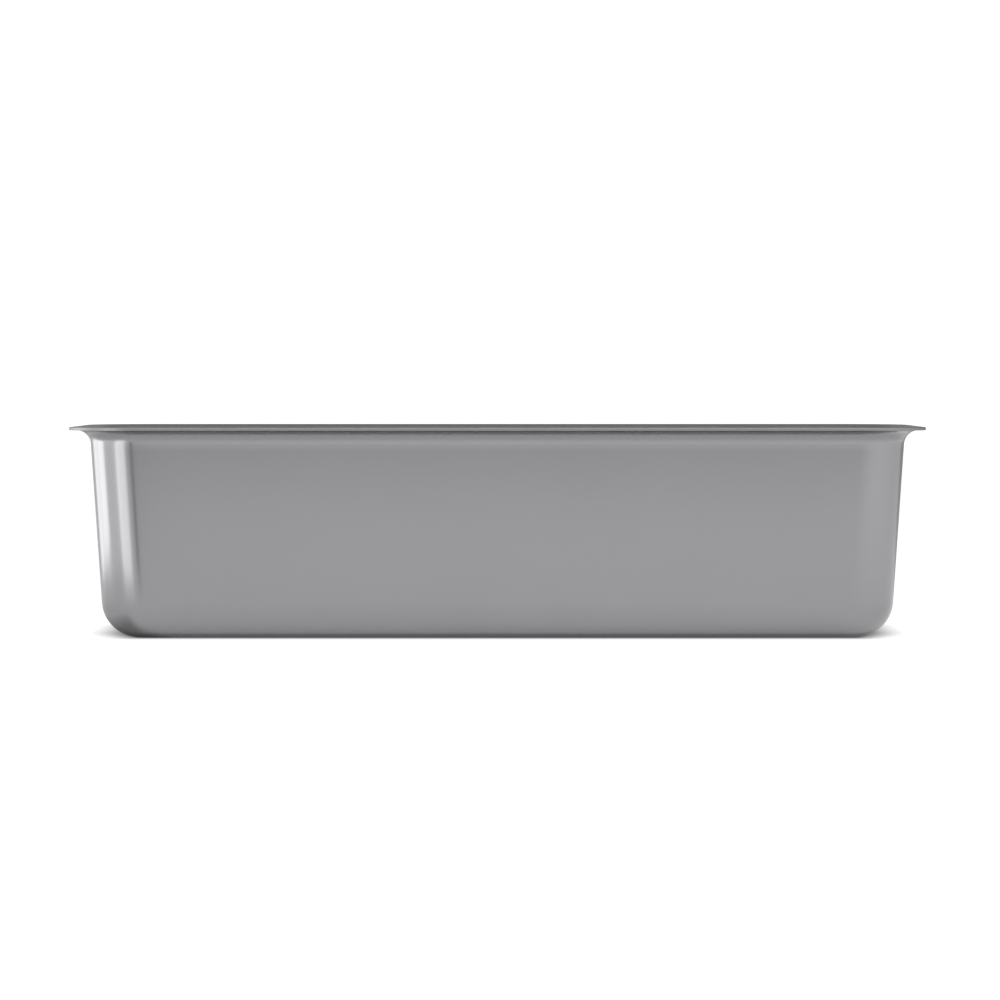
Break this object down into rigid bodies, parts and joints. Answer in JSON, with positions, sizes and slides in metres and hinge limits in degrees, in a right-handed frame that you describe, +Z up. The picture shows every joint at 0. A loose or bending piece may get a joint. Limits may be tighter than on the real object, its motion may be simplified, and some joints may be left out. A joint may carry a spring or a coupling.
{
  "type": "loaf pan",
  "caption": "Long drawn metal loaf pan with flaring walls, softly rounded corners and base edge, a flat out-turned rim and a non-stick lining.",
  "frame": {"origin": "middle of the flat base, on the surface that the pan stands on", "axes": "+X along the pan's length, +Y across its width, +Z up towards the open mouth"},
  "size_m": [0.28, 0.11, 0.069],
  "materials": {
    "satin_steel": "satin silver-grey sheet steel with a fine even speckle",
    "nonstick_coat": "smooth silver-grey non-stick film with a fine metallic fleck"
  },
  "bodies": {
    "root": {"pan_shell": "satin_steel", "nonstick_lining": "nonstick_coat"}
  },
  "joints": []
}
